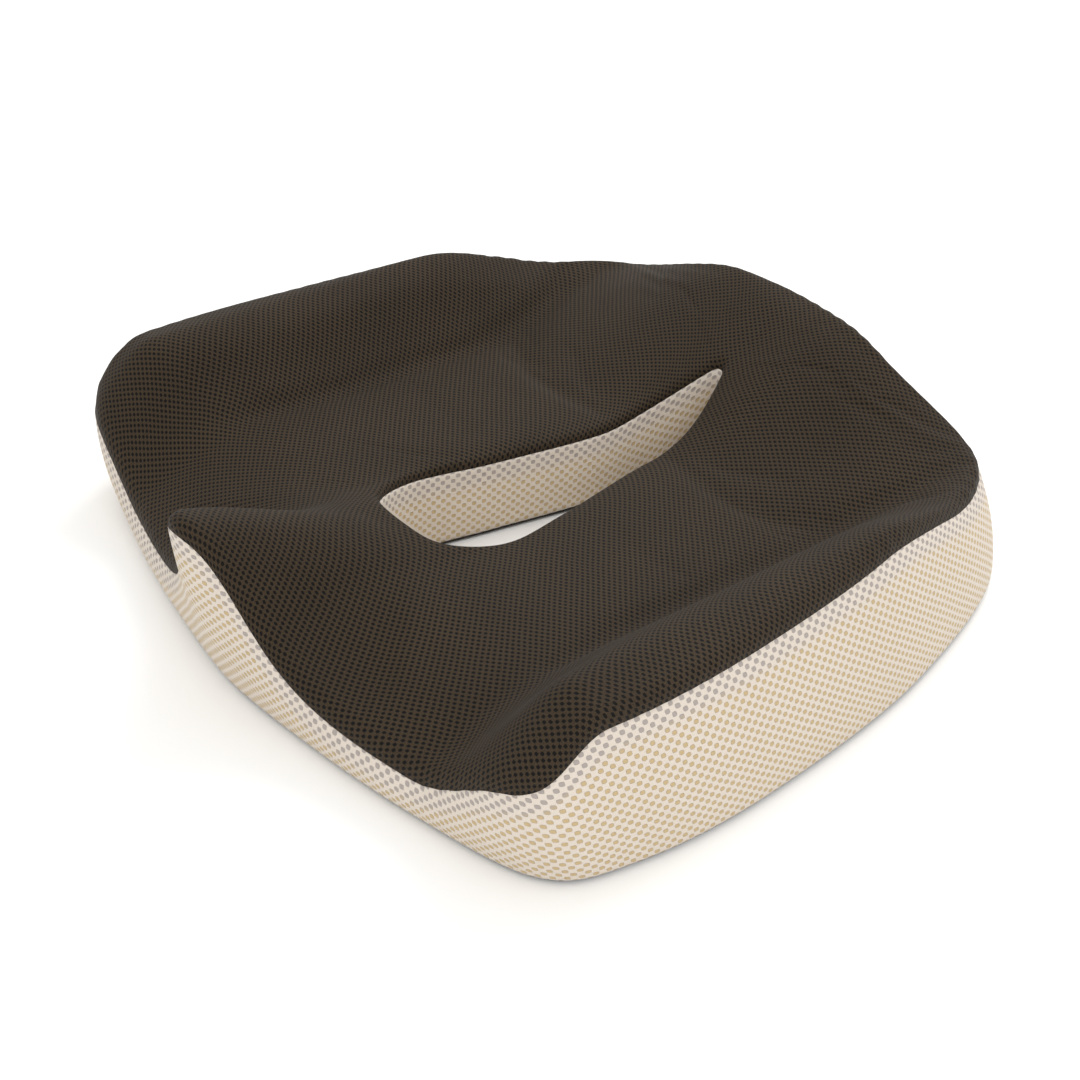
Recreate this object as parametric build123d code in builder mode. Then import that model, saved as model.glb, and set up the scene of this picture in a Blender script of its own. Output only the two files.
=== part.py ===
from build123d import *
import math
import os

# Contoured seat cushion with a centre relief slot, in a removable mesh cover.
# Millimetres. +X right, +Y to the rear, +Z up. Z = 0 is the floor under the grip dots,
# X = 0 is the plane of symmetry, and Y = 0 is the middle of the depth.

# ---- driving dimensions -------------------------------------------------
COVER = 3.0            # spacer mesh thickness
BASE_Z = 0.6           # height of the grip dots under the base cloth
BASE_CLOTH = 1.8       # anti-slip base cloth thickness
CLEAR = 0.3            # ease between one layer and the next
SEAM = 0.9             # set-back of the top and base cloth at a seam
TALL = 140.0           # working height, above every part of the cushion

LIP_H = 30.0           # top of the thin front lip, in the thigh troughs
CREST_H = 55.0         # crest between the thigh slopes and the seat basin
BASIN_H = 52.0         # lowest part of the seat basin
REAR_H = 113.0         # middle of the raised rear
NOSE_H = 114.0         # pommel height at the front edge
POMMEL_H = 66.0        # pommel height where it meets the slot
POMMEL_W = 34.0        # half width of the pommel at half of its height
POMMEL_ROUND = 2.8     # roundness of its crown: 2 is peaked, 4 is nearly flat
RIM_H = 92.0           # side rim
RIM_FRONT = 48.0       # how far the rim falls toward the front corners
RIM_CROWN = 5.0        # rise of the rolled rim above the seam
CORNER_DIP = 13.0      # how far the rim falls toward the rear corners
LIP_Y = -190.0         # where the thigh slopes start, and how long they are
THIGH_L = 90.0
RIM_Y = -195.0         # where the rim starts to rise, and over what length
RIM_RISE = 72.0
REAR_Y = 65.0          # where the rear starts to rise, and over what length
REAR_RISE = 150.0
BASIN_Y = -95.0        # where the crest starts to fall to the basin, and over what length
BASIN_L = 100.0
RIM_X = 130.0          # where the seat turns up into the side rim, and over what width
RIM_W = 60.0
CROWN_X = 180.0        # middle of the rolled rim, and its width
CROWN_W = 16.0
SEAM_Z = 100.0         # height at which the leaning walls reach the seam line

# Half plan outlines from front middle to rear middle, drawn as smooth curves. The floor and seam
# lines pass the nose, its root, the front edge, the front corner, the side, the rear corner and
# the rear edge, in matching pairs.
FLOOR_LINE = [(0, -190), (60, -184), (130, -171), (195, -150), (215, -110), (220, -30),
              (205, 95), (160, 205), (80, 215), (0, 215)]
SEAM_LINE = [(0, -212), (30, -202), (110, -182), (192, -172), (205, -130), (204, -40),
             (186, 90), (146, 178), (75, 191), (0, 198)]
SLOT_LINE = [(0, -90), (26, -82), (39, -50), (32, -5), (22, 50), (17, 95), (6, 130), (0, 137)]

ZIP_Z = 33.0           # centre line of the zip, on the rear wall
ZIP_Y = 198.0          # inner face of the zip tapes
ZIP_HALF = 96.0        # half length of the zip opening
REAR_Y_MID = 212.0     # middle of the cutting blocks behind the zip
POCKET = (32.0, 34.0)  # depth and height of the room in the foam behind the zip
ZIP_WINDOW = 14.0      # height of the opening between the rear strips
TAPE_T = 0.7
TAPE_W = 10.0
ROW_GAP = 1.2          # space between the two rows of teeth
TOOTH = (1.1, 1.6, 1.8)
TOOTH_PITCH = 2.0
SLIDER_X = 78.0        # slider centre with the zip shut
SLIDER_L = 11.0
SLIDER_W = 8.0
PULL_L = 17.0

DOT_PITCH = 44.0
DOT_R = 3.5


# ---- form ---------------------------------------------------------------
def ease(t):
    """Smooth step from 0 to 1."""
    t = min(max(t, 0.0), 1.0)
    return t * t * (3.0 - 2.0 * t)


def top_height(x, y):
    """Height of the finished seat surface above the floor."""
    a = abs(x)
    seat = LIP_H + (CREST_H - LIP_H) * ease((y - LIP_Y) / THIGH_L)
    seat -= (CREST_H - BASIN_H) * ease((y - BASIN_Y) / BASIN_L)
    seat += (REAR_H - BASIN_H) * ease((y - REAR_Y) / REAR_RISE) * (1 - 0.6 * ease((a - 40) / 110))
    ridge = POMMEL_H + (NOSE_H - POMMEL_H) * ease((-80 - y) / 150)
    pommel = (ridge - seat) * (1 - ease((y - BASIN_Y) / 60)) / (1 + (a / POMMEL_W) ** POMMEL_ROUND)
    rim = RIM_H - RIM_FRONT * (1 - ease((y - RIM_Y) / RIM_RISE)) - CORNER_DIP * ease((y - 60) / 80)
    side = (rim - seat) * ease((a - RIM_X) / RIM_W)
    crown = RIM_CROWN * math.exp(-((a - CROWN_X) / CROWN_W) ** 2)
    crown *= ease((y - LIP_Y) / 60) * ease((170 - y) / 60)
    return seat + max(pommel, 0.0) + side + crown


def closed_loop(half, inset):
    """Mirror a half outline into a closed loop of points, moved inward by inset."""
    left = [(-x, y) for x, y in reversed(half[1:-1])]
    loop = half + left
    count = len(loop)
    moved = []
    for i, (x, y) in enumerate(loop):
        px, py = loop[i - 1]
        nx, ny = loop[(i + 1) % count]
        dx, dy = nx - px, ny - py
        size = math.hypot(dx, dy)
        moved.append((x - inset * dy / size, y + inset * dx / size))
    return moved


def walls(inset, bottom=0.0):
    """The outer form from the floor line to the seam line, as one tall block."""
    with BuildPart() as block:
        for z, mix in ((bottom, bottom / SEAM_Z), (TALL, TALL / SEAM_Z)):
            blend = [(fx + (sx - fx) * mix, fy + (sy - fy) * mix)
                     for (fx, fy), (sx, sy) in zip(FLOOR_LINE, SEAM_LINE)]
            with BuildSketch(Plane.XY.offset(z)):
                with BuildLine():
                    Spline(*closed_loop(blend, inset), periodic=True)
                make_face()
        loft(ruled=True)
    return block.part


def slot(grow):
    """The centre slot as a tall plug, grown outward on every side."""
    with BuildPart() as plug:
        with BuildSketch(Plane.XY.offset(-5)):
            with BuildLine():
                Spline(*closed_loop(SLOT_LINE, -grow), periodic=True)
            make_face()
        extrude(amount=TALL + 20)
    return plug.part


# the finished seat surface, skinned over a grid of heights
GRID_X, GRID_Y = 13.0, 14.0
seat_skin = Face.make_surface_from_array_of_points([
    [Vector(GRID_X * i, GRID_Y * j, top_height(GRID_X * i, GRID_Y * j)) for j in range(-17, 18)]
    for i in range(-18, 19)], tol=0.3, min_deg=3, max_deg=5)

with BuildPart() as seat_form:
    extrude(seat_skin, amount=160, dir=(0, 0, -1))


def under(drop):
    """The seat form lowered by drop."""
    return Pos(0, 0, -drop) * seat_form.part


def block(inset, drop, bottom):
    """The whole cushion form, inset, lowered and raised off the floor."""
    return (walls(inset, bottom) & under(drop)) - slot(inset)


# ---- padding ------------------------------------------------------------
foam_inset = COVER + CLEAR
with BuildPart() as foam_core:
    add(block(foam_inset, foam_inset, BASE_Z + BASE_CLOTH + CLEAR))
    # room for the zip behind the rear wall
    with Locations((0, REAR_Y_MID, ZIP_Z)):
        Box(2 * ZIP_HALF, *POCKET, mode=Mode.SUBTRACT)

# ---- cover --------------------------------------------------------------
with BuildPart() as top_panel:
    extrude(seat_skin, amount=COVER, dir=(0, 0, -1))
    add(walls(SEAM), mode=Mode.INTERSECT)
    add(slot(SEAM), mode=Mode.SUBTRACT)

boxing_floor = BASE_Z + BASE_CLOTH + 0.1
boxing_ring = (walls(0, boxing_floor) & under(COVER + 0.1)) - walls(COVER, boxing_floor - 1)
rear_zone = Pos(0, REAR_Y_MID, 60) * Box(2 * ZIP_HALF, 60, 160)

with BuildPart() as side_boxing:
    add(boxing_ring)
    with Locations((0, REAR_Y_MID, 60)):
        Box(2 * ZIP_HALF + 0.2, 60, 160, mode=Mode.SUBTRACT)

with BuildPart() as rear_boxing_upper:
    add(boxing_ring & rear_zone)
    with Locations((0, REAR_Y_MID, ZIP_Z + ZIP_WINDOW / 2)):
        Box(2 * ZIP_HALF + 2, 62, 160, align=(Align.CENTER, Align.CENTER, Align.MAX), mode=Mode.SUBTRACT)

with BuildPart() as rear_boxing_lower:
    add(boxing_ring & rear_zone)
    with Locations((0, REAR_Y_MID, ZIP_Z - ZIP_WINDOW / 2)):
        Box(2 * ZIP_HALF + 2, 62, 160, align=(Align.CENTER, Align.CENTER, Align.MIN), mode=Mode.SUBTRACT)

with BuildPart() as slot_wall:
    add(slot(COVER) & under(COVER + 0.1))
    add(slot(0), mode=Mode.SUBTRACT)
    with Locations((0, 0, boxing_floor)):
        Box(300, 500, 60, align=(Align.CENTER, Align.CENTER, Align.MAX), mode=Mode.SUBTRACT)

with BuildPart() as base_panel:
    add(walls(SEAM))
    with Locations((0, 0, BASE_Z)):
        Box(600, 600, 60, align=(Align.CENTER, Align.CENTER, Align.MAX), mode=Mode.SUBTRACT)
    with Locations((0, 0, BASE_Z + BASE_CLOTH)):
        Box(600, 600, 200, align=(Align.CENTER, Align.CENTER, Align.MIN), mode=Mode.SUBTRACT)
    add(slot(SEAM), mode=Mode.SUBTRACT)

with BuildPart() as grip_dots:
    # silicone dots in staggered rows over the base cloth
    spots = []
    for row in range(-4, 5):
        for col in range(-5, 6):
            x, y = (col + 0.5 * (row % 2)) * DOT_PITCH, row * DOT_PITCH
            reach = (abs(x) / 200) ** 4 + (abs(y + 2) / 186) ** 4
            beside_slot = abs(x) < 46 and -106 < y < 146
            if reach < 0.78 and not beside_slot:
                spots.append((x, y))
    with BuildSketch():
        with Locations(*spots):
            Circle(DOT_R)
    extrude(amount=BASE_Z)


# ---- zip ----------------------------------------------------------------
tape_y = ZIP_Y + TAPE_T / 2
teeth_y = ZIP_Y + TAPE_T + TOOTH[1] / 2
row_z = ROW_GAP / 2 + TOOTH[2] / 2
TEETH_START, TEETH_END = -78.0, 82.0

with BuildPart() as zip_tape_upper:
    with Locations((0, tape_y, ZIP_Z + ROW_GAP / 2 + 0.2)):
        Box(2 * ZIP_HALF - 2, TAPE_T, TAPE_W, align=(Align.CENTER, Align.CENTER, Align.MIN))

with BuildPart() as zip_tape_lower:
    with Locations((0, tape_y, ZIP_Z - ROW_GAP / 2 - 0.2)):
        Box(2 * ZIP_HALF - 2, TAPE_T, TAPE_W, align=(Align.CENTER, Align.CENTER, Align.MAX))

tooth_count = int((TEETH_END - TEETH_START) / TOOTH_PITCH)
with BuildPart() as zip_teeth_upper:
    with Locations(*[(TEETH_START + TOOTH_PITCH * i, teeth_y, ZIP_Z + row_z) for i in range(tooth_count)]):
        Box(*TOOTH)

with BuildPart() as zip_teeth_lower:
    lower_spots = [(TEETH_START + TOOTH_PITCH * (i + 0.5), teeth_y, ZIP_Z - row_z) for i in range(tooth_count)]
    with Locations(*lower_spots):
        Box(*TOOTH)

with BuildPart() as zip_stop_shut:
    with Locations((86, teeth_y + 0.1, ZIP_Z)):
        Box(3.0, 1.6, 5.4)
    fillet(zip_stop_shut.edges().filter_by(Axis.Z), 0.5)

with BuildPart() as zip_stop_open:
    with Locations((-83, teeth_y + 0.1, ZIP_Z)):
        Box(5.0, 1.6, 6.4)
    fillet(zip_stop_open.edges().filter_by(Axis.Z), 0.5)

plate_y = ZIP_Y + TAPE_T + TOOTH[1] + 0.4      # inner face of the outer plate
with BuildPart() as zip_slider:
    # outer plate with curled sides
    with BuildSketch(Plane.XZ.offset(-plate_y)):
        with Locations((SLIDER_X, ZIP_Z)):
            RectangleRounded(SLIDER_L, SLIDER_W, 2.2)
    extrude(amount=-1.2)
    for side in (-1, 1):
        with Locations((SLIDER_X, plate_y - 0.5, ZIP_Z + side * (SLIDER_W / 2 - 0.4))):
            Box(6.0, 1.2, 0.7)
    # inner plate behind the tapes
    with BuildSketch(Plane.XZ.offset(-(ZIP_Y - 1.4))):
        with Locations((SLIDER_X, ZIP_Z)):
            RectangleRounded(SLIDER_L, SLIDER_W, 2.2)
    extrude(amount=-1.0)
    # divider between the rows
    with Locations((SLIDER_X + 3, (plate_y + ZIP_Y) / 2, ZIP_Z)):
        Box(3.0, plate_y - ZIP_Y + 2.0, 0.6)
    # bail that holds the pull
    for end in (-1, 1):
        with Locations((SLIDER_X + end * 2.0, plate_y + 1.1 + 1.3, ZIP_Z)):
            Box(1.0, 2.8, 2.0)
    with Locations((SLIDER_X, plate_y + 1.2 + 2.2, ZIP_Z)):
        Box(5.0, 0.9, 2.0)

pivot_y = plate_y + 1.2 + 0.9
with BuildPart() as zip_pull:
    with BuildSketch(Plane.XY.offset(ZIP_Z - 2.7)):
        with Locations((SLIDER_X, pivot_y)):
            Circle(0.6)
    extrude(amount=5.4)
    for side in (-1, 1):
        with Locations((SLIDER_X - 2.6, pivot_y, ZIP_Z + side * 2.0)):
            Box(5.2, 1.0, 1.3)
    with BuildSketch(Plane.XZ.offset(-(pivot_y - 0.5))):
        with Locations((SLIDER_X - 4.6 - (PULL_L - 4) / 2, ZIP_Z)):
            RectangleRounded(PULL_L - 4, 6.6, 1.6)
        with Locations((SLIDER_X - PULL_L + 1.8, ZIP_Z)):
            Circle(1.1, mode=Mode.SUBTRACT)
    extrude(amount=-1.0)

# ---- save ---------------------------------------------------------------
PIECES = {
    "foam_core": foam_core, "top_panel": top_panel,
    "side_boxing": side_boxing, "rear_boxing_upper": rear_boxing_upper,
    "rear_boxing_lower": rear_boxing_lower, "slot_wall": slot_wall, "base_panel": base_panel,
    "grip_dots": grip_dots,
    "zip_tape_upper": zip_tape_upper, "zip_tape_lower": zip_tape_lower,
    "zip_teeth_upper": zip_teeth_upper, "zip_teeth_lower": zip_teeth_lower,
    "zip_stop_shut": zip_stop_shut, "zip_stop_open": zip_stop_open,
    "zip_slider": zip_slider, "zip_pull": zip_pull,
}
os.makedirs("parts", exist_ok=True)
for label, piece in PIECES.items():
    piece.part.label = label
    export_step(piece.part, f"parts/{label}.step")
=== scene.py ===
import math

import bpy
import numpy as np
from mathutils import Matrix, Vector


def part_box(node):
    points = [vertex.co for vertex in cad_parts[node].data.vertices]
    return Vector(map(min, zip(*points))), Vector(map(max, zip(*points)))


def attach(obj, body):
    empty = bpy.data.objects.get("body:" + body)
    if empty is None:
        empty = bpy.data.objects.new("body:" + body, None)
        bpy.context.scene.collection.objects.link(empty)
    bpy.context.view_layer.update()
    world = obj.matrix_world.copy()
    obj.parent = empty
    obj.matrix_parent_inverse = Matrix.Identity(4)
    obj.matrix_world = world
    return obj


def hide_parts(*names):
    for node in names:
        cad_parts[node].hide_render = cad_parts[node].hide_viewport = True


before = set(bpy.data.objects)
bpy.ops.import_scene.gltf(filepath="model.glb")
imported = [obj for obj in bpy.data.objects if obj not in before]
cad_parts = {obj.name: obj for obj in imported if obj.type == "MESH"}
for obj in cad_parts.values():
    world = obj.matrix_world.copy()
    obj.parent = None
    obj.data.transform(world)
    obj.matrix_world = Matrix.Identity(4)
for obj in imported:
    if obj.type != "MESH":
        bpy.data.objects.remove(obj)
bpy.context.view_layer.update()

MM = 0.001

# ---------------------------------------------------------------- the form, in millimetres
LIP_H, CREST_H, BASIN_H, REAR_H = 30.0, 55.0, 52.0, 113.0
NOSE_H, POMMEL_H, POMMEL_W, POMMEL_ROUND = 114.0, 66.0, 34.0, 2.8
RIM_H, RIM_FRONT, RIM_CROWN, CORNER_DIP = 92.0, 48.0, 5.0, 13.0
LIP_Y, THIGH_L = -190.0, 90.0    # where the thigh slopes start, and their length
RIM_Y, RIM_RISE = -195.0, 72.0
REAR_Y, REAR_RISE = 65.0, 150.0
BASIN_Y, BASIN_L = -95.0, 100.0
RIM_X, RIM_W = 130.0, 60.0
CROWN_X, CROWN_W = 180.0, 16.0
CROWN_END_Y, CROWN_FADE = 170.0, 60.0
REAR_FALL, REAR_FALL_X, REAR_FALL_W = 0.6, 40.0, 110.0    # the rear rise dies out sideways
NOSE_Y, NOSE_L = -80.0, 150.0    # the pommel climbs forward from here, over this length
POMMEL_FADE = 60.0               # length over which the pommel sinks into the basin
CORNER_Y, CORNER_L = 60.0, 80.0  # the rear corners dip from here, over this length
SEAM_Z = 100.0                   # height at which the leaning walls reach the seam line
LEAN_MAX = 1.2                   # walls carry on leaning a little above that height
CLOTH_T = 2.6                    # spacer mesh thickness
BASE_Z = 0.6                     # the base cloth stands on its grip dots
BASE_T = 1.6                     # base cloth thickness
BASE_FLAT = 1.0                  # height of the flat base form above BASE_Z
SLOT_FOOT_Z, SLOT_SAG = 3.0, 1.2
BOX_SWELL, SWELL_SHAPE = 3.5, 0.8
PAD_GAP = 0.8                    # air between the cloth and the padding
SEAM_ROLL, SLOT_ROLL, FOOT_ROLL = 8.0, 5.0, 5.0
AROUND = 560                     # points round the cushion
CURVE_STEPS = 40                 # steps between two outline points
SEAM_SOLVES = 40                 # damped steps, more than the seam line needs to settle
SLOT_STEPS, BOX_STEPS, BASE_STEPS = 16, 30, 18
NEAR_SLOT, NEAR_SEAM = 0.055, 0.93    # shares of the seat that get finer rows
SEED = 7
PUCKER, PUCKER_PITCH = 0.35, 11.0
PUCKER_WANDER, PUCKER_SWING = 0.25, 130.0
PUCKER_FADE, PUCKER_OUT = 9.0, 0.6
PUCKER_ABOVE, PUCKER_BELOW = 14, 5    # rows either side of the seam that pucker
SEAM_HOLD = 0.9
SETTLE_FRAMES, SETTLE_CAP = 15, 3.5

# half outlines, front middle to rear middle; the floor and seam points pair up
FLOOR_LINE = [(0, -190), (60, -184), (130, -171), (195, -150), (215, -110), (220, -30),
              (205, 95), (160, 205), (80, 215), (0, 215)]
SEAM_LINE = [(0, -212), (30, -202), (110, -182), (192, -172), (205, -130), (204, -40),
             (186, 90), (146, 178), (75, 191), (0, 198)]
SLOT_LINE = [(0, -90), (26, -82), (39, -50), (32, -5), (22, 50), (17, 95), (6, 130), (0, 137)]


def ease(t):
    """A smooth step from 0 to 1."""
    t = np.clip(t, 0.0, 1.0)
    return t * t * (3.0 - 2.0 * t)


def seat_height(x, y):
    """Height of the seat above the floor: front lip, thigh troughs, basin, rims and pommel."""
    a = np.abs(x)
    seat = LIP_H + (CREST_H - LIP_H) * ease((y - LIP_Y) / THIGH_L)
    seat = seat - (CREST_H - BASIN_H) * ease((y - BASIN_Y) / BASIN_L)
    rear = (REAR_H - BASIN_H) * ease((y - REAR_Y) / REAR_RISE)
    seat = seat + rear * (1 - REAR_FALL * ease((a - REAR_FALL_X) / REAR_FALL_W))
    ridge = POMMEL_H + (NOSE_H - POMMEL_H) * ease((NOSE_Y - y) / NOSE_L)
    pommel = (ridge - seat) * (1 - ease((y - BASIN_Y) / POMMEL_FADE))
    pommel = pommel / (1 + (a / POMMEL_W) ** POMMEL_ROUND)
    rim = RIM_H - RIM_FRONT * (1 - ease((y - RIM_Y) / RIM_RISE))
    rim = rim - CORNER_DIP * ease((y - CORNER_Y) / CORNER_L)
    side = (rim - seat) * ease((a - RIM_X) / RIM_W)
    crown = RIM_CROWN * np.exp(-((a - CROWN_X) / CROWN_W) ** 2)
    crown = crown * ease((y - LIP_Y) / CROWN_FADE) * ease((CROWN_END_Y - y) / CROWN_FADE)
    return seat + np.maximum(pommel, 0) + side + crown


def closed_curve(half, count):
    """An even, smooth closed loop through a half outline and its mirror image."""
    pts = np.array(half + [(-x, y) for x, y in reversed(half[1:-1])], float)
    n = len(pts)
    before, after = np.roll(pts, 1, 0), np.roll(pts, -1, 0)
    slope = (after - before) / 2
    fine = []
    for t in np.linspace(0, 1, CURVE_STEPS, endpoint=False):
        h = (2 * t**3 - 3 * t**2 + 1, t**3 - 2 * t**2 + t, -2 * t**3 + 3 * t**2, t**3 - t**2)
        fine.append(h[0] * pts + h[1] * slope + h[2] * after + h[3] * np.roll(slope, -1, 0))
    fine = np.stack(fine, 1).reshape(-1, 2)
    middle = (len(half) - 1) * CURVE_STEPS    # rear middle, so both halves get equal counts
    halves = []
    for part in (fine[:middle + 1], np.vstack([fine[middle:], fine[:1]])):
        run = np.concatenate([[0], np.cumsum(np.linalg.norm(np.diff(part, axis=0), axis=1))])
        at = np.linspace(0, run[-1], count // 2 + 1)[:-1]
        halves.append(np.stack([np.interp(at, run, part[:, k]) for k in (0, 1)], 1))
    return np.vstack(halves)


floor_loop = closed_curve(FLOOR_LINE, AROUND)
lean_loop = closed_curve(SEAM_LINE, AROUND)
slot_loop = closed_curve(SLOT_LINE, AROUND)


def outward(loop):
    """The sideways direction out of a closed loop, at each of its points."""
    along = np.roll(loop, -1, 0) - np.roll(loop, 1, 0)
    along /= np.linalg.norm(along, axis=1)[:, None]
    return np.stack([along[:, 1], -along[:, 0]], 1)


def rolled(distance, radius):
    """Drop of a rounded edge at a distance in from it."""
    d = np.clip(distance, 0, radius)
    return radius - np.sqrt(np.maximum(radius**2 - (radius - d) ** 2, 0))


# the seam lies where the leaning walls meet the seat, just under its rolled edge
seam_loop = lean_loop.copy()
for _ in range(SEAM_SOLVES):
    meet = seat_height(seam_loop[:, 0], seam_loop[:, 1]) - SEAM_ROLL
    lean = np.clip(meet / SEAM_Z, 0, LEAN_MAX)[:, None]
    seam_loop = (seam_loop + floor_loop + (lean_loop - floor_loop) * lean) / 2

# rows of the closed form, as a ring of rings: slot wall, seat, boxing, base
rows = []
slot_top = seat_height(slot_loop[:, 0], slot_loop[:, 1]) - SLOT_ROLL
for s in np.linspace(0, 1, SLOT_STEPS)[:-1]:
    lift = SLOT_FOOT_Z + (slot_top - SLOT_FOOT_Z) * s
    sag = SLOT_SAG * math.sin(math.pi * s)
    plan = slot_loop - outward(slot_loop) * sag
    rows.append(np.column_stack([plan, lift]))
SLOT_ROWS = len(rows)

span = np.concatenate([np.linspace(0, NEAR_SLOT, 7)[:-1],
                       np.linspace(NEAR_SLOT, NEAR_SEAM, 48)[:-1],
                       np.linspace(NEAR_SEAM, 1, 10)])
gap = np.linalg.norm(seam_loop - slot_loop, axis=1)
for s in span:
    plan = slot_loop + (seam_loop - slot_loop) * s
    z = seat_height(plan[:, 0], plan[:, 1])
    z = z - rolled(s * gap, SLOT_ROLL) - rolled((1 - s) * gap, SEAM_ROLL)
    rows.append(np.column_stack([plan, z]))
SEAT_ROWS = len(rows)

seam_z = rows[-1][:, 2]
for k in range(1, BOX_STEPS + 1):
    s = k / BOX_STEPS
    z = seam_z + (BASE_Z + BASE_T - seam_z) * s
    mix = np.clip(z / SEAM_Z, 0, LEAN_MAX)[:, None]
    plan = floor_loop + (lean_loop - floor_loop) * mix
    swell = BOX_SWELL * np.sin(math.pi * s) ** SWELL_SHAPE
    foot = rolled(z - BASE_Z, FOOT_ROLL)
    plan = plan + outward(floor_loop) * (swell - foot)[:, None]
    rows.append(np.column_stack([plan, z]))
BOX_ROWS = len(rows)

edge = rows[-1][:, :2]
for s in np.linspace(0, 1, BASE_STEPS)[1:]:
    plan = edge + (slot_loop - edge) * s
    rows.append(np.column_stack([plan, np.full(AROUND, BASE_Z + BASE_FLAT)]))
form = np.stack(rows)            # rows, then points round, then x, y and z

# sewing gathers the cloth a little: shallow uneven puckers that die out away from the seam
rng = np.random.default_rng(SEED)
loop_run = np.concatenate([[0], np.cumsum(np.linalg.norm(np.diff(seam_loop, axis=0), axis=1))])
wander = np.cumsum(rng.normal(0, PUCKER_WANDER, AROUND))
gather = np.sin(loop_run * 2 * math.pi / PUCKER_PITCH + wander)
gather *= 0.6 + 0.4 * np.sin(loop_run * 2 * math.pi / PUCKER_SWING)
facing = outward(seam_loop)
for k in range(SEAT_ROWS - PUCKER_ABOVE, SEAT_ROWS + PUCKER_BELOW):
    away = np.linalg.norm(form[k] - form[SEAT_ROWS - 1], axis=1)
    size = PUCKER * gather * np.exp(-(away / PUCKER_FADE) ** 2)
    form[k, :, :2] += facing * size[:, None] * PUCKER_OUT
    form[k, :, 2] += size


# ---------------------------------------------------------------- meshes
def link(name, mesh):
    """Put a mesh into the scene as an object."""
    piece = bpy.data.objects.new(name, mesh)
    bpy.context.scene.collection.objects.link(piece)
    return piece


def whole_form(name):
    """The closed form as a mesh, its last row joined to its first."""
    faces = []
    for k in range(len(form)):
        n = (k + 1) % len(form)
        for i in range(AROUND):
            j = (i + 1) % AROUND
            faces.append((k * AROUND + i, n * AROUND + i, n * AROUND + j, k * AROUND + j))
    mesh = bpy.data.meshes.new(name)
    mesh.from_pydata((form.reshape(-1, 3) * MM).tolist(), [], faces)
    mesh.update()
    return mesh


def settle_cover():
    """Fill the cover with a light pressure, held at base and seams, and cap each point's move."""
    piece = link("cover_form", whole_form("cover_form"))
    hold = piece.vertex_groups.new(name="held")
    base = list(range((BOX_ROWS - 1) * AROUND, len(form) * AROUND)) + list(range(AROUND))
    hold.add(base, 1.0, "REPLACE")
    for row in (SLOT_ROWS, SEAT_ROWS - 1):
        hold.add(list(range(row * AROUND, (row + 1) * AROUND)), SEAM_HOLD, "REPLACE")
    cloth = piece.modifiers.new("cover", "CLOTH")
    c = cloth.settings
    c.quality, c.mass = 6, 0.3
    c.tension_stiffness = c.compression_stiffness = 25
    c.shear_stiffness, c.bending_stiffness = 12, 2.0
    c.use_pressure, c.uniform_pressure_force = True, 2.5
    c.effector_weights.gravity = 0
    c.vertex_group_mass = "held"
    cloth.collision_settings.use_collision = False
    scene = bpy.context.scene
    for frame_at in range(1, SETTLE_FRAMES + 1):
        scene.frame_set(frame_at)
    done = piece.evaluated_get(bpy.context.evaluated_depsgraph_get()).to_mesh()
    co = np.zeros(len(done.vertices) * 3)
    done.vertices.foreach_get("co", co)
    scene.frame_set(1)
    moved = co.reshape(form.shape) / MM - form
    bpy.data.objects.remove(piece)
    size = np.linalg.norm(moved, axis=2, keepdims=True)
    print("cover moved, most and middle, mm", size.max().round(2), np.median(size).round(2))
    return form + moved * np.minimum(1, SETTLE_CAP / np.maximum(size, 1e-6))


form = settle_cover()


def panel(name, grid, cloth_uv, from_seam, closed=True):
    """A cloth panel from rows of points, with its cut size in millimetres as its UVs."""
    grid = np.asarray(grid)
    n_rows, n_round = grid.shape[:2]
    mesh = bpy.data.meshes.new(name)
    faces, corner_uv = [], []
    columns = n_round if closed else n_round - 1
    for k in range(n_rows - 1):
        for i in range(columns):
            j = (i + 1) % n_round
            here, below = k * n_round, (k + 1) * n_round
            faces.append((here + i, below + i, below + j, here + j))
            beside = i + 1 if i + 1 < cloth_uv.shape[1] else 0
            corner_uv += [cloth_uv[k, i], cloth_uv[k + 1, i], cloth_uv[k + 1, beside],
                          cloth_uv[k, beside]]
    mesh.from_pydata((grid.reshape(-1, 3) * MM).tolist(), [], faces)
    layer = mesh.uv_layers.new(name="cloth")
    layer.data.foreach_set("uv", (np.array(corner_uv) * MM).ravel())
    edge = mesh.attributes.new("from_seam", "FLOAT", "POINT")
    near = np.ascontiguousarray(from_seam[:, :n_round], dtype=float)
    edge.data.foreach_set("value", near.ravel())
    mesh.update()
    mesh.shade_smooth()
    return link(name, mesh)


def thicken(piece, depth):
    """Give a panel its cloth thickness, inward."""
    solid = piece.modifiers.new("thickness", "SOLIDIFY")
    solid.thickness, solid.offset = depth * MM, -1.0
    evaluated = piece.evaluated_get(bpy.context.evaluated_depsgraph_get())
    made = bpy.data.meshes.new_from_object(evaluated)
    piece.modifiers.clear()
    piece.data = made
    return piece


def run_along(points, axis):
    """Length along a grid of points, row by row or round by round, in millimetres."""
    step = np.linalg.norm(np.diff(points, axis=axis), axis=2)
    start = np.zeros_like(np.take(step, [0], axis=axis))
    return np.concatenate([start, np.cumsum(step, axis=axis)], axis=axis)


def closed_round(points):
    """The same rows with the first point of each repeated at its end."""
    return np.concatenate([points, points[:, :1]], axis=1)


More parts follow.
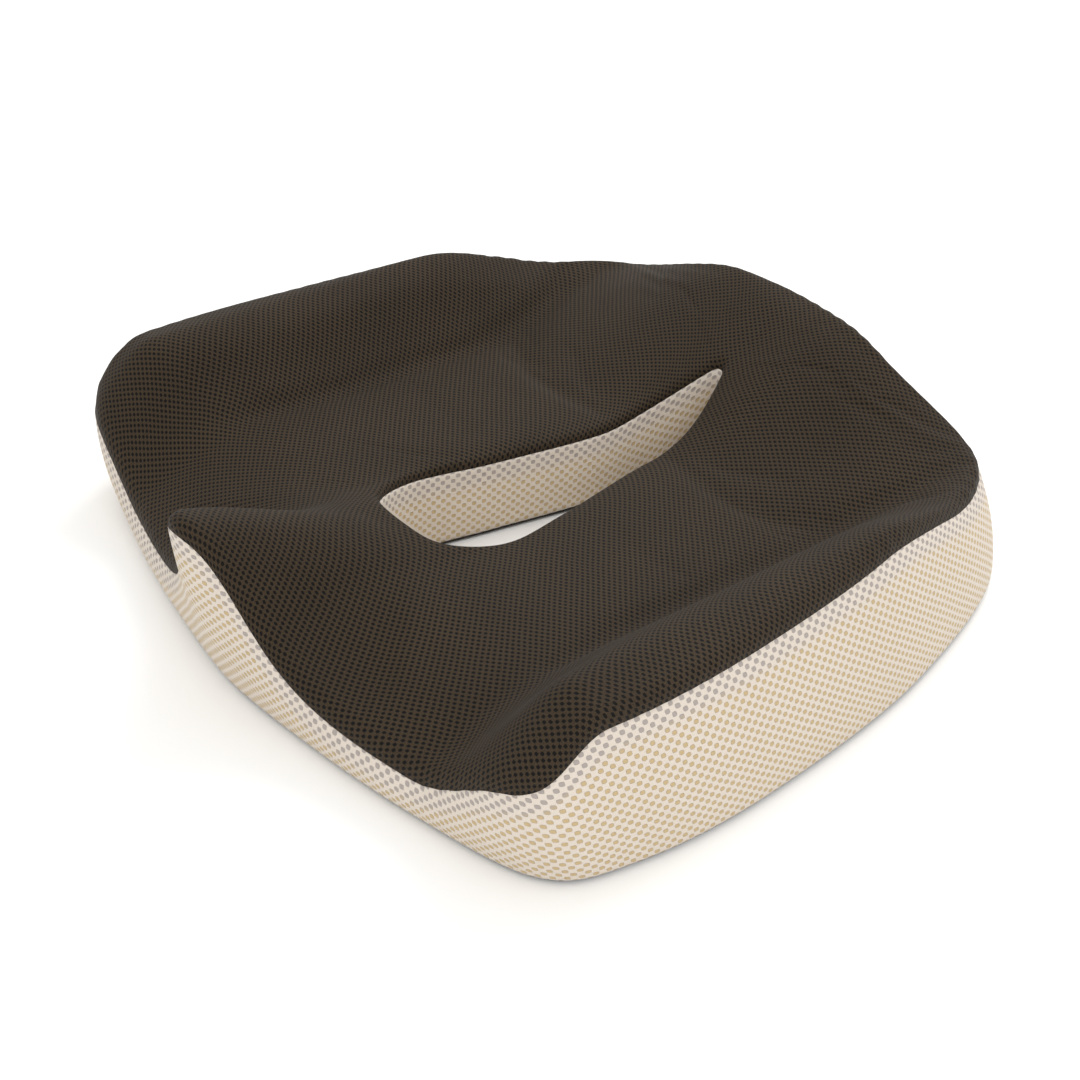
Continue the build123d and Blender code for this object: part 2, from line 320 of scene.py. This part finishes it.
# seat: the cut lies flat in plan, so slopes take more cloth along and across
seat = form[SLOT_ROWS:SEAT_ROWS]
TABLE_HALF, CELL = 240, 2.0      # reach and spacing of the table of cloth lengths
LAST_CELL = 239.999              # just inside the table's far edge, in cells
ticks = np.arange(-TABLE_HALF, TABLE_HALF + 1, CELL)
gx, gy = np.meshgrid(ticks, ticks, indexing="ij")
gz = seat_height(gx, gy)
across = np.cumsum(np.hypot(CELL, np.diff(gz, axis=0, prepend=gz[:1])), axis=0)
middle_cell = int(TABLE_HALF / CELL)
across -= across[middle_cell:middle_cell + 1]
along = np.cumsum(np.hypot(CELL, np.diff(gz, axis=1, prepend=gz[:, :1])), axis=1)


def read_grid(table, x, y):
    """Look a place up in the table, blending its four nearest cells."""
    fx = np.clip((x + TABLE_HALF) / CELL, 0, LAST_CELL)
    fy = np.clip((y + TABLE_HALF) / CELL, 0, LAST_CELL)
    i, j = fx.astype(int), fy.astype(int)
    u, v = fx - i, fy - j
    return ((1 - u) * (1 - v) * table[i, j] + u * (1 - v) * table[i + 1, j]
            + (1 - u) * v * table[i, j + 1] + u * v * table[i + 1, j + 1])


seat_round = closed_round(seat)
seat_uv = np.stack([read_grid(along, seat_round[..., 0], seat_round[..., 1]),
                    read_grid(across, seat_round[..., 0], seat_round[..., 1])], -1)
flat_step = np.diff(seat_uv, axis=0)
true_step = np.linalg.norm(np.diff(seat_round, axis=0), axis=2)
stretch = true_step / np.maximum(np.linalg.norm(flat_step, axis=2), 1e-6)
seat_uv[1:] = seat_uv[:1] + np.cumsum(flat_step * np.maximum(stretch, 1)[..., None], axis=0)
seat_seam = run_along(seat_round[::-1], 0)[::-1]
seat_cover = thicken(panel("seat_cover", seat, seat_uv, seat_seam), CLOTH_T)

# boxing: a strip, its length round the seam and its height down from the seam
box_form = closed_round(form[SEAT_ROWS - 1:BOX_ROWS])
foot_line = box_form[-1:] * (1, 1, 0)    # so that the pattern stays square to the floor
strip = np.stack([np.repeat(run_along(foot_line, 1), len(box_form), 0),
                  SEAM_Z - box_form[..., 2]], -1)
box_seam = run_along(box_form, 0)
REAR_SEARCH = 120                # points either side of the rear middle
rear_middle = AROUND // 2
zip_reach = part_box("rear_boxing_upper")[1].x / MM
around_rear = slice(rear_middle - REAR_SEARCH, rear_middle + REAR_SEARCH + 1)
rear_part = np.abs(box_form[0, around_rear, 0]) < zip_reach
rear_from = around_rear.start + int(np.argmax(rear_part))
rear_to = around_rear.stop - int(np.argmax(rear_part[::-1]))
front_order = list(range(rear_to - 1, AROUND)) + list(range(0, rear_from + 1))
front_grid = form[SEAT_ROWS - 1:BOX_ROWS][:, front_order]
front_uv = strip[:, front_order]
front_uv[:, :AROUND - rear_to + 1, 0] -= strip[0, AROUND, 0]
side_panel = panel("side_cover", front_grid, front_uv, box_seam[:, front_order], closed=False)
side_cover = thicken(side_panel, CLOTH_T)

# rear strips, above and below the zip
zip_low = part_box("rear_boxing_lower")[1].z / MM
zip_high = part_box("rear_boxing_upper")[0].z / MM
ABOVE_ALL = 200                  # higher than any point, so the strip runs up to the seam


def cut_rear(name, low, high, count):
    """The part of the rear wall between two heights, as its own panel with count rows."""
    src = form[SEAT_ROWS - 1:BOX_ROWS][:, rear_from:rear_to]
    out, uv, seam = [], [], []
    for s in np.linspace(0, 1, count):
        col, cuv = [], []
        for i in range(src.shape[1]):
            z = src[:, i, 2]
            top = min(z[0], high)
            want = top + (max(low, z[-1]) - top) * s
            order = np.argsort(z)
            col.append([np.interp(want, z[order], src[order, i, k]) for k in range(3)])
            cuv.append([strip[0, rear_from + i, 0], SEAM_Z - want])
        out.append(col)
        uv.append(cuv)
        seam.append(src[0, :, 2] - np.array(col)[:, 2])
    strip_panel = panel(name, np.array(out), np.array(uv), np.array(seam), closed=False)
    return thicken(strip_panel, CLOTH_T)


rear_upper = cut_rear("rear_strip_upper", zip_high, ABOVE_ALL, 22)
rear_lower = cut_rear("rear_strip_lower", 0, zip_low, 8)

# slot wall, wound the same way as the rest of the form
slot_form = form[:SLOT_ROWS + 1]
slot_round = closed_round(slot_form)
slot_uv = np.stack([np.repeat(run_along(slot_round[:1], 1), len(slot_round), 0),
                    run_along(slot_round[::-1], 0)[::-1]], -1)
slot_cover = thicken(panel("slot_cover", slot_form, slot_uv, slot_uv[..., 1]), CLOTH_T)

# base cloth
base_form = np.concatenate([form[BOX_ROWS - 1:], form[:1]])
base_round = closed_round(base_form)
base_sheet = panel("base_cloth", base_form, base_round[..., :2], base_round[..., 2])
base_cover = thicken(base_sheet, BASE_T)

# padding under the cover: the same form, drawn in by the cloth's thickness, with a pocket
# pressed in behind the zip so that its slider has room
POCKET_CLEAR, POCKET_SIDE = 2.5, 8.0
POCKET_FADE_X, POCKET_FADE_Z = 6.0, 4.0
mesh = whole_form("foam_pad")
normals = np.zeros(len(mesh.vertices) * 3)
mesh.vertices.foreach_get("normal", normals)
inner = form.reshape(-1, 3) - normals.reshape(-1, 3) * (CLOTH_T + PAD_GAP)
tape_lo = np.array(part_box("zip_tape_lower")[0]) / MM
tape_hi = np.array(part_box("zip_tape_upper")[1]) / MM
pocket_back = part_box("zip_slider")[0].y / MM - POCKET_CLEAR
across_zip = 1 - ease((np.abs(inner[:, 0]) - tape_hi[0] - POCKET_SIDE) / POCKET_FADE_X)
from_teeth = np.abs(inner[:, 2] - (tape_lo[2] + tape_hi[2]) / 2)
up_zip = 1 - ease((from_teeth - (tape_hi[2] - tape_lo[2]) / 2) / POCKET_FADE_Z)
pushed = np.clip(inner[:, 1] - pocket_back, 0, None) * across_zip * up_zip
inner[:, 1] -= np.where(inner[:, 1] > 0, pushed, 0)
mesh.vertices.foreach_set("co", (inner * MM).ravel())
mesh.update()
mesh.shade_smooth()
foam_pad = link("foam_pad", mesh)


# ---------------------------------------------------------------- materials
def linear(hex_colour):
    """An sRGB hex colour as linear red, green, blue, alpha."""
    parts = [int(hex_colour[i:i + 2], 16) / 255 for i in (1, 3, 5)]
    return tuple(c / 12.92 if c <= 0.04045 else ((c + 0.055) / 1.055) ** 2.4 for c in parts) + (1.0,)


def node(tree, kind, inputs=None, **settings):
    """Add a node, set it up, and feed its sockets with values or with other sockets."""
    made = tree.nodes.new(kind)
    for key, value in settings.items():
        setattr(made, key, value)
    for key, value in (inputs or {}).items():
        if isinstance(value, bpy.types.NodeSocket):
            tree.links.new(value, made.inputs[key])
        else:
            made.inputs[key].default_value = value
    return made


def start(name):
    """A new material with its node tree and its shader."""
    mat = bpy.data.materials.new(name)
    mat.use_nodes = True
    tree = mat.node_tree
    shader = tree.nodes["Principled BSDF"]
    return mat, tree, shader


def spacer_mesh(name, pitch, row, hole, yarn, yarn_light, hole_near, hole_deep, band, roughness,
                sheen):
    """Warp-knitted polyester spacer mesh: staggered round eyelets in a soft matt knit.

    pitch and row are the eyelets' spacings in millimetres. band is the distance from the seam,
    in millimetres, over which the colour in the eyelets goes from hole_near to hole_deep.
    """
    mat, tree, shader = start(name)
    cloth = node(tree, "ShaderNodeUVMap", uv_map="cloth").outputs["UV"]
    wander = node(tree, "ShaderNodeTexNoise", {"Vector": cloth, "Scale": 45.0, "Detail": 2.0})
    shift = node(tree, "ShaderNodeVectorMath", {0: wander.outputs["Color"], 1: (0.0009, 0.0009, 0.0)},
                 operation="MULTIPLY")
    place = node(tree, "ShaderNodeVectorMath", {0: cloth, 1: shift.outputs[0]}, operation="ADD")
    part = node(tree, "ShaderNodeSeparateXYZ", {0: place.outputs[0]})
    u = node(tree, "ShaderNodeMath", {0: part.outputs["X"], 1: 2 * math.pi / (pitch * MM)},
             operation="MULTIPLY")
    v = node(tree, "ShaderNodeMath", {0: part.outputs["Y"], 1: math.pi / (row * MM)},
             operation="MULTIPLY")
    cu = node(tree, "ShaderNodeMath", {0: u.outputs[0]}, operation="COSINE")
    cv = node(tree, "ShaderNodeMath", {0: v.outputs[0]}, operation="COSINE")
    wave = node(tree, "ShaderNodeMath", {0: cu.outputs[0], 1: cv.outputs[0]}, operation="MULTIPLY")
    eyelet = node(tree, "ShaderNodeMapRange", {"Value": wave.outputs[0], "From Min": hole - 0.22,
                  "From Max": hole + 0.16}, interpolation_type="SMOOTHSTEP")
    # knit filaments run along the cloth; real ones are 0.1 mm, drawn 0.5 mm wide so that they show
    fibre = node(tree, "ShaderNodeTexNoise", {"Vector": cloth, "Scale": 2000.0, "Detail": 1.0})
    tone = node(tree, "ShaderNodeTexNoise", {"Vector": cloth, "Scale": 18.0, "Detail": 3.0})
    drift = node(tree, "ShaderNodeMapRange", {"Value": tone.outputs["Fac"], "To Min": 0.40,
                 "To Max": 0.60})
    blend = node(tree, "ShaderNodeMath", {0: fibre.outputs["Fac"], 1: drift.outputs[0]},
                 operation="MULTIPLY")
    knit = node(tree, "ShaderNodeMapRange", {"Value": blend.outputs[0], "From Min": 0.12,
                "From Max": 0.42})
    yarns = node(tree, "ShaderNodeMix", {"Factor": knit.outputs[0], "A": linear(yarn),
                 "B": linear(yarn_light)}, data_type="RGBA")
    seam = node(tree, "ShaderNodeAttribute", attribute_name="from_seam").outputs["Fac"]
    near = node(tree, "ShaderNodeMapRange", {"Value": seam, "From Min": band[0],
                "From Max": band[1]})
    behind = node(tree, "ShaderNodeMix", {"Factor": near.outputs[0], "A": linear(hole_near),
                  "B": linear(hole_deep)}, data_type="RGBA")
    colour = node(tree, "ShaderNodeMix", {"Factor": eyelet.outputs[0], "A": yarns.outputs["Result"],
                  "B": behind.outputs["Result"]}, data_type="RGBA")
    tree.links.new(colour.outputs["Result"], shader.inputs["Base Color"])
    height = node(tree, "ShaderNodeMath", {0: fibre.outputs["Fac"], 1: 0.15}, operation="MULTIPLY")
    level = node(tree, "ShaderNodeMath", {0: height.outputs[0], 1: eyelet.outputs[0]},
                 operation="SUBTRACT")
    relief = node(tree, "ShaderNodeBump", {"Height": level.outputs[0], "Strength": 0.7,
                  "Distance": 0.0007})
    tree.links.new(relief.outputs[0], shader.inputs["Normal"])
    shader.inputs["Roughness"].default_value = roughness
    shader.inputs["Sheen Weight"].default_value = sheen
    shader.inputs["Sheen Roughness"].default_value = 0.45
    shader.inputs["Specular IOR Level"].default_value = 0.16
    return mat


# polyester spacer mesh, dark brown: matt ridges with near-black eyelets, and a faint sheen on folds
dark_mesh = spacer_mesh("polyester_spacer_mesh_dark", pitch=3.5, row=2.15, hole=0.25,
                        yarn="#261e15", yarn_light="#4a3c2b", hole_near="#0b0907",
                        hole_deep="#0b0907", band=(0, 1), roughness=0.75, sheen=0.03)
# polyester spacer mesh, cream: chalky knit; the foam behind its eyelets shows tan, and near the
# seam they are grey, where dark cloth turns in
cream_mesh = spacer_mesh("polyester_spacer_mesh_cream", pitch=6.2, row=2.85, hole=0.30,
                         yarn="#c9beb1", yarn_light="#d8cec2", hole_near="#a29993",
                         hole_deep="#baa47e", band=(9, 14), roughness=0.85, sheen=0.05)


def plain_cloth(name, low, high, thread, roughness):
    """Plain-woven cloth: crossing threads at a stated spacing in millimetres."""
    mat, tree, shader = start(name)
    place = node(tree, "ShaderNodeTexCoord").outputs["Object"]
    lines = [node(tree, "ShaderNodeTexWave", {"Vector": place, "Scale": 1 / (thread * MM) / 6.28,
                  "Distortion": 0.4}, bands_direction=way).outputs["Fac"] for way in ("X", "Y")]
    weave = node(tree, "ShaderNodeMath", {0: lines[0], 1: lines[1]}, operation="MULTIPLY")
    soil = node(tree, "ShaderNodeTexNoise", {"Vector": place, "Scale": 25.0, "Detail": 4.0})
    amount = node(tree, "ShaderNodeMath", {0: weave.outputs[0], 1: soil.outputs["Fac"]},
                  operation="MULTIPLY")
    colour = node(tree, "ShaderNodeMix", {"Factor": amount.outputs[0], "A": linear(low),
                  "B": linear(high)}, data_type="RGBA")
    tree.links.new(colour.outputs["Result"], shader.inputs["Base Color"])
    relief = node(tree, "ShaderNodeBump", {"Height": weave.outputs[0], "Strength": 0.4,
                  "Distance": 0.0003})
    tree.links.new(relief.outputs[0], shader.inputs["Normal"])
    shader.inputs["Roughness"].default_value = roughness
    return mat


def grained(name, low, high, scale, depth, roughness, metallic=0.0):
    """A moulded, foamed or plated surface: fine grain with slow colour drift."""
    mat, tree, shader = start(name)
    place = node(tree, "ShaderNodeTexCoord").outputs["Object"]
    grain = node(tree, "ShaderNodeTexNoise", {"Vector": place, "Scale": scale, "Detail": 3.0})
    drift = node(tree, "ShaderNodeTexNoise", {"Vector": place, "Scale": 30.0, "Detail": 2.0})
    mixed = node(tree, "ShaderNodeMath", {0: grain.outputs["Fac"], 1: drift.outputs["Fac"]},
                 operation="MULTIPLY")
    colour = node(tree, "ShaderNodeMix", {"Factor": mixed.outputs[0], "A": linear(low),
                  "B": linear(high)}, data_type="RGBA")
    tree.links.new(colour.outputs["Result"], shader.inputs["Base Color"])
    rough = node(tree, "ShaderNodeMapRange", {"Value": grain.outputs["Fac"], "To Min": roughness - 0.08,
                 "To Max": roughness + 0.08})
    tree.links.new(rough.outputs[0], shader.inputs["Roughness"])
    relief = node(tree, "ShaderNodeBump", {"Height": grain.outputs["Fac"], "Strength": 0.3,
                  "Distance": depth * MM})
    tree.links.new(relief.outputs[0], shader.inputs["Normal"])
    shader.inputs["Metallic"].default_value = metallic
    return mat


# plain-woven polyester base cloth: dark, dull, with a fine thread grid
base_cloth = plain_cloth("woven_polyester_base_cloth", "#12100e", "#3a352f", 0.9, 0.85)
# woven zip tape: flat cream ribbon with a tight weave
tape_cloth = plain_cloth("woven_zip_tape", "#cfc7b6", "#f0eadc", 0.8, 0.8)
# open-cell memory foam: golden, chalky, with pores that catch the light
foam = grained("open_cell_memory_foam", "#c9a765", "#e6cf97", 900.0, 0.4, 0.9)
# moulded silicone: soft dark grip dots with a waxy shine
silicone = grained("moulded_silicone", "#141414", "#2c2b2a", 600.0, 0.05, 0.45)
# extruded nylon zip teeth: cream, slightly glossy
nylon = grained("extruded_nylon", "#cfc5ae", "#ebe4d2", 500.0, 0.03, 0.35)
# nickel-plated die-cast zinc: bright but softly clouded
zinc = grained("nickel_plated_zinc", "#a9a6a1", "#cfccc6", 700.0, 0.02, 0.28, metallic=1.0)

dress = {"grip_dots": silicone, "zip_tape_upper": tape_cloth, "zip_tape_lower": tape_cloth,
         "zip_teeth_upper": nylon, "zip_teeth_lower": nylon, "zip_stop_shut": zinc,
         "zip_stop_open": zinc, "zip_slider": zinc, "zip_pull": zinc}
for name, mat in dress.items():
    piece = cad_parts[name]
    piece.data.materials.clear()
    piece.data.materials.append(mat)

for piece, mat, cad_node, finish in (
        (seat_cover, dark_mesh, "top_panel", "dark_mesh"),
        (side_cover, cream_mesh, "side_boxing", "cream_mesh"),
        (rear_upper, cream_mesh, "rear_boxing_upper", "cream_mesh"),
        (rear_lower, cream_mesh, "rear_boxing_lower", "cream_mesh"),
        (slot_cover, cream_mesh, "slot_wall", "cream_mesh"),
        (base_cover, base_cloth, "base_panel", "base_cloth"),
        (foam_pad, foam, "foam_core", "foam")):
    piece.data.materials.clear()
    piece.data.materials.append(mat)
    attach(piece, "cushion")
    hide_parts(cad_node)


def cut_size(piece):
    """Read the size that a panel is cut to from its cloth map; nothing is done with it."""
    layer = piece.data.uv_layers["cloth"].data
    at = np.zeros(len(layer) * 2)
    layer.foreach_get("uv", at)
    at = at.reshape(-1, 2)


for piece in (seat_cover, side_cover, rear_upper, rear_lower, slot_cover, base_cover):
    cut_size(piece)

# ---------------------------------------------------------------- floor, light, camera
REACH = 4.0                      # half the floor's width, in metres
mesh = bpy.data.meshes.new("floor")
corners = [(-REACH, -REACH, 0), (REACH, -REACH, 0), (REACH, REACH, 0), (-REACH, REACH, 0)]
mesh.from_pydata(corners, [], [(0, 1, 2, 3)])
floor = link("floor", mesh)
# uncoated studio paper: near white and dead matt, so that only soft shadows show on it
paper, tree, shader = start("matt_studio_paper")
shader.inputs["Base Color"].default_value = linear("#fbfbfa")
shader.inputs["Roughness"].default_value = 0.9
mesh.materials.append(paper)

world = bpy.data.worlds.new("studio")
world.use_nodes = True
world.node_tree.nodes["Background"].inputs["Color"].default_value = (1, 1, 1, 1)
world.node_tree.nodes["Background"].inputs["Strength"].default_value = 1.0
bpy.context.scene.world = world
bpy.context.scene.view_settings.view_transform = "Standard"


def softbox(name, at, size, watts):
    """A square area light that faces the cushion."""
    lamp = bpy.data.lights.new(name, "AREA")
    lamp.shape, lamp.size, lamp.energy = "SQUARE", size, watts
    made = bpy.data.objects.new(name, lamp)
    made.location = at
    made.rotation_euler = (Vector((0, 0, 0.05)) - Vector(at)).to_track_quat("-Z", "Y").to_euler()
    bpy.context.scene.collection.objects.link(made)


softbox("rear_softbox", (-0.5, 1.6, 1.8), 1.4, 22)
softbox("key_softbox", (1.6, -0.9, 1.5), 1.6, 12)

AZIMUTH, ELEVATION, ROLL = math.radians(50.4), math.radians(34.9), math.radians(2.0)
DISTANCE = 0.924                 # metres from the aim
LENS = 55.4333                   # millimetres, on a sensor 36 mm wide
aim = Vector((0.0048, 0.0022, 0.0137))
back = Vector((math.sin(AZIMUTH) * math.cos(ELEVATION), -math.cos(AZIMUTH) * math.cos(ELEVATION),
               math.sin(ELEVATION)))
right = Vector((math.cos(AZIMUTH), math.sin(AZIMUTH), 0))
turn = Matrix((right, back.cross(right), back)).transposed().to_4x4()
camera = bpy.data.objects.new("camera", bpy.data.cameras.new("camera"))
camera.matrix_world = Matrix.Translation(aim + back * DISTANCE) @ turn @ Matrix.Rotation(ROLL, 4, "Z")
camera.data.lens = LENS
bpy.context.scene.collection.objects.link(camera)
bpy.context.scene.camera = camera

bpy.context.view_layer.update()
